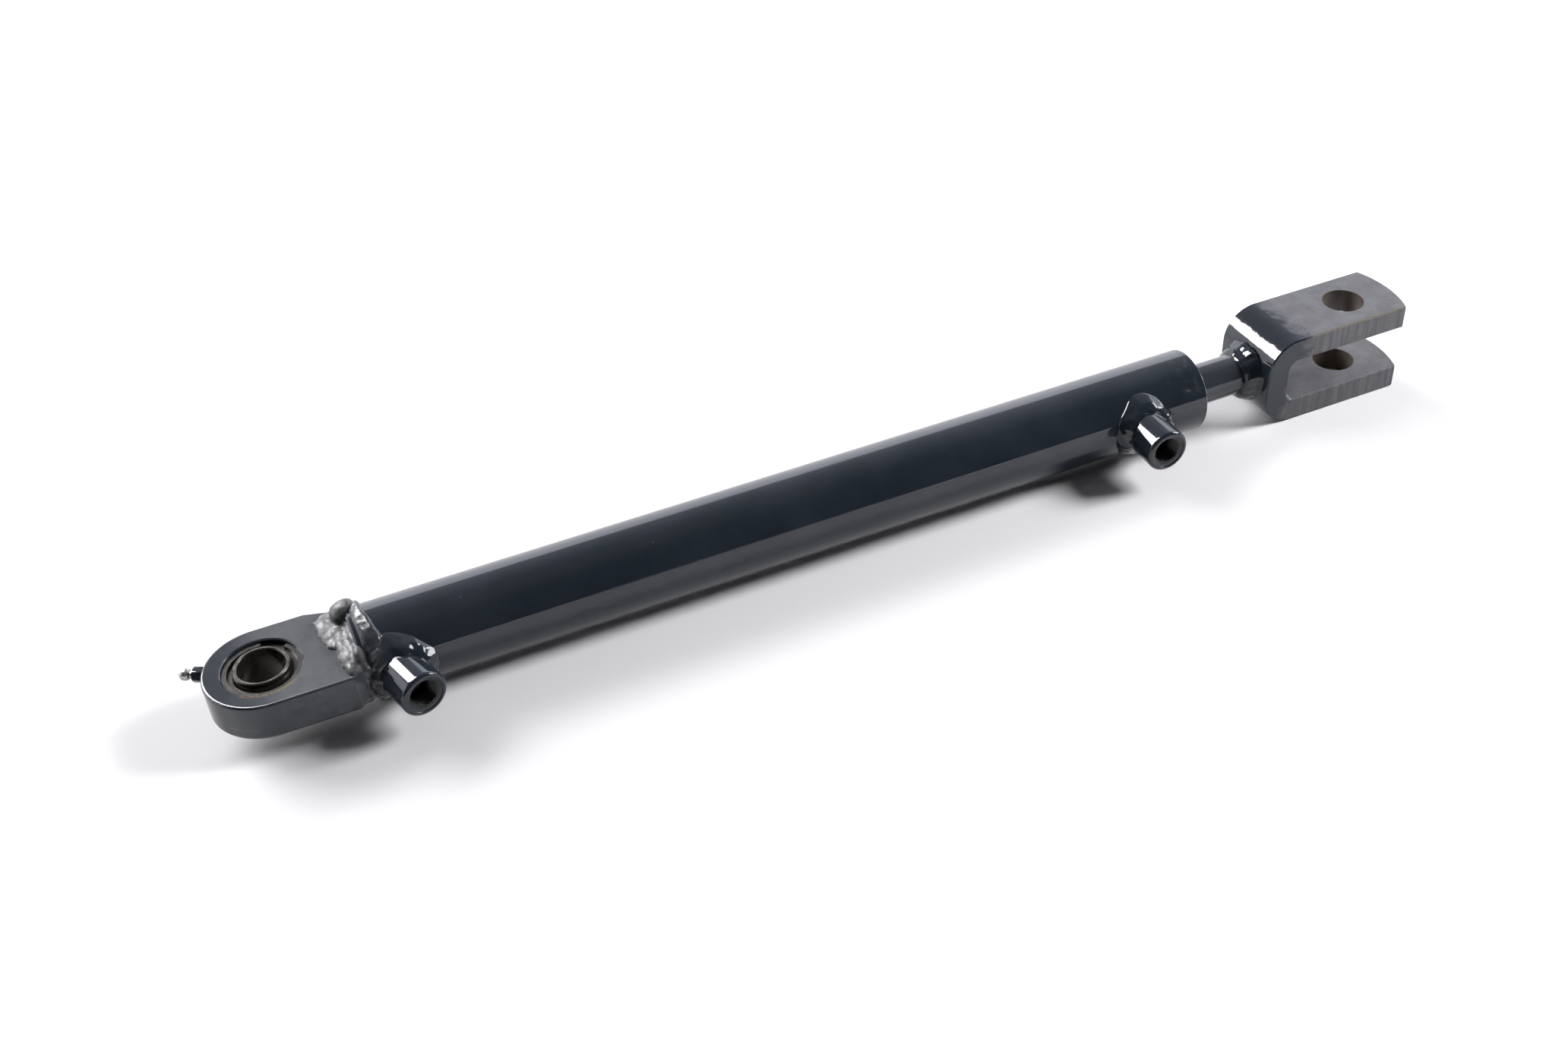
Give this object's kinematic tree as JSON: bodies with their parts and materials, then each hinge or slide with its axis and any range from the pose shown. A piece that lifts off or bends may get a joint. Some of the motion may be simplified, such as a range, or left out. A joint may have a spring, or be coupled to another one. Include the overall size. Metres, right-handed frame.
{
  "type": "hydraulic cylinder",
  "caption": "Double-acting welded hydraulic cylinder with a spherical bearing eye on its base, a bent-bar clevis on its rod and side ports near each end.",
  "frame": {"origin": "centre of the spherical bearing's bore in the base eye, half way through its width", "axes": "+X along the cylinder from the base eye to the rod clevis, +Z along both pin bores, -Y the side that the ports are on; the rod is fully retracted"},
  "size_m": [0.7467, 0.0817, 0.058],
  "materials": {
    "gloss_paint": "gloss anthracite enamel over steel",
    "eye_paint": "satin anthracite enamel, dusty on top",
    "painted_weld": "gloss enamel over rough weld, bare and dull on the crown",
    "clevis_steel": "gloss enamel at the bend, worn to dull grey steel on the legs",
    "bearing_steel": "oiled hardened bearing steel",
    "spring_steel": "blackened spring steel",
    "plated_steel": "zinc plated steel",
    "machined_steel": "turned steel",
    "rod_chrome": "ground and hard chromed, painted at the clevis end",
    "nitrile_rubber": "black nitrile rubber",
    "polyurethane": "blue polyurethane seal",
    "guide_polymer": "brown fabric-filled resin"
  },
  "bodies": {
    "barrel": {"barrel_tube": "gloss_paint", "base_cap": "gloss_paint", "base_weld": "painted_weld", "eye_weld": "painted_weld", "bearing_eye": "eye_paint", "bearing_outer_ring": "bearing_steel", "retaining_ring_upper": "spring_steel", "retaining_ring_lower": "spring_steel", "grease_nipple": "plated_steel", "base_port_boss": "gloss_paint", "base_port_weld": "painted_weld", "rod_port_boss": "gloss_paint", "rod_port_weld": "painted_weld", "gland": "machined_steel", "gland_oring": "nitrile_rubber", "gland_backup_ring": "guide_polymer", "rod_guide_ring": "guide_polymer", "rod_seal": "polyurethane", "rod_wiper": "polyurethane"},
    "piston_rings": {"piston_guide_ring_front": "guide_polymer", "piston_guide_ring_rear": "guide_polymer", "piston_seal": "polyurethane", "piston_seal_energiser": "nitrile_rubber"},
    "rod": {"piston_rod": "rod_chrome", "piston": "machined_steel", "piston_nut": "machined_steel", "piston_static_oring": "nitrile_rubber", "clevis": "clevis_steel", "clevis_weld": "painted_weld"},
    "bearing_ring": {"bearing_inner_ring": "bearing_steel"},
    "nipple_check": {"nipple_check_ball": "plated_steel", "nipple_spring": "spring_steel"}
  },
  "joints": [
    {"name": "rod_slide", "type": "slide", "parent": "barrel", "child": "piston_rings", "axis": [1, 0, 0], "range_m": [0, 0.4]},
    {"name": "rod_spin", "type": "hinge", "parent": "piston_rings", "child": "rod", "pos_m": [0.0945, 0, 0], "axis": [1, 0, 0], "continuous": true},
    {"name": "bearing_tilt", "type": "hinge", "parent": "barrel", "child": "bearing_ring", "pos_m": [0, 0, 0], "axis": [0, 1, 0], "range_deg": [-6, 6]},
    {"name": "nipple_check_slide", "type": "slide", "parent": "barrel", "child": "nipple_check", "axis": [0.866, -0.5, 0], "range_m": [0, 0.0008], "stiffness_N_per_m": 300, "springref_m": -0.001}
  ]
}
